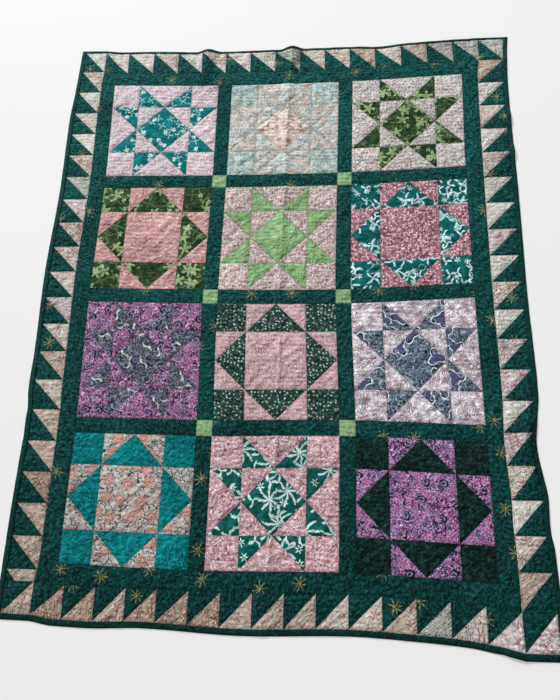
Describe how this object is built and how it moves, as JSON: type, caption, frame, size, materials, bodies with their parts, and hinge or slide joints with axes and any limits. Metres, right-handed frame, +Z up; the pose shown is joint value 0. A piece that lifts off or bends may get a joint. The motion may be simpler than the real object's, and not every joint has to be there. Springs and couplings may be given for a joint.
{
  "type": "patchwork throw",
  "caption": "Flat-laid patchwork throw of pieced star and window blocks in green sashing, with a sawtooth border and a bound edge that lies slightly wavy.",
  "frame": {"origin": "middle of the laid throw's outline, on the floor", "axes": "+X across the throw to the right, +Y along its length away from the viewer, +Z up"},
  "size_m": [1.276, 1.6424, 0.0188],
  "materials": {
    "fabric_teal": "woven",
    "fabric_pastel": "woven",
    "fabric_forest": "woven",
    "fabric_light_green": "woven",
    "fabric_slate": "woven",
    "fabric_emerald": "woven",
    "fabric_bottle_green": "woven",
    "fabric_corner": "woven",
    "fabric_teeth": "woven"
  },
  "bodies": {
    "root": {"binding_bottom": "fabric_bottle_green", "binding_left": "fabric_bottle_green", "binding_right": "fabric_bottle_green", "binding_top": "fabric_bottle_green", "block_r1_c1": "fabric_teal", "block_r1_c2": "fabric_pastel", "block_r1_c3": "fabric_forest", "block_r2_c1": "fabric_forest", "block_r2_c2": "fabric_light_green", "block_r2_c3": "fabric_teal", "block_r3_c1": "fabric_slate", "block_r3_c2": "fabric_forest", "block_r3_c3": "fabric_slate", "block_r4_c1": "fabric_teal", "block_r4_c2": "fabric_emerald", "block_r4_c3": "fabric_forest", "corner_square_r1_c1": "fabric_corner", "corner_square_r1_c2": "fabric_corner", "corner_square_r2_c1": "fabric_corner", "corner_square_r2_c2": "fabric_corner", "corner_square_r3_c1": "fabric_corner", "corner_square_r3_c2": "fabric_corner", "inner_border_bottom": "fabric_bottle_green", "inner_border_left": "fabric_bottle_green", "inner_border_right": "fabric_bottle_green", "inner_border_top": "fabric_bottle_green", "sash_cross_r1_c1": "fabric_bottle_green", "sash_cross_r1_c2": "fabric_bottle_green", "sash_cross_r1_c3": "fabric_bottle_green", "sash_cross_r2_c1": "fabric_bottle_green", "sash_cross_r2_c2": "fabric_bottle_green", "sash_cross_r2_c3": "fabric_bottle_green", "sash_cross_r3_c1": "fabric_bottle_green", "sash_cross_r3_c2": "fabric_bottle_green", "sash_cross_r3_c3": "fabric_bottle_green", "sash_upright_r1_c1": "fabric_bottle_green", "sash_upright_r1_c2": "fabric_bottle_green", "sash_upright_r2_c1": "fabric_bottle_green", "sash_upright_r2_c2": "fabric_bottle_green", "sash_upright_r3_c1": "fabric_bottle_green", "sash_upright_r3_c2": "fabric_bottle_green", "sash_upright_r4_c1": "fabric_bottle_green", "sash_upright_r4_c2": "fabric_bottle_green", "sawtooth_bottom": "fabric_teeth", "sawtooth_left": "fabric_teeth", "sawtooth_right": "fabric_teeth", "sawtooth_top": "fabric_teeth"}
  },
  "joints": []
}
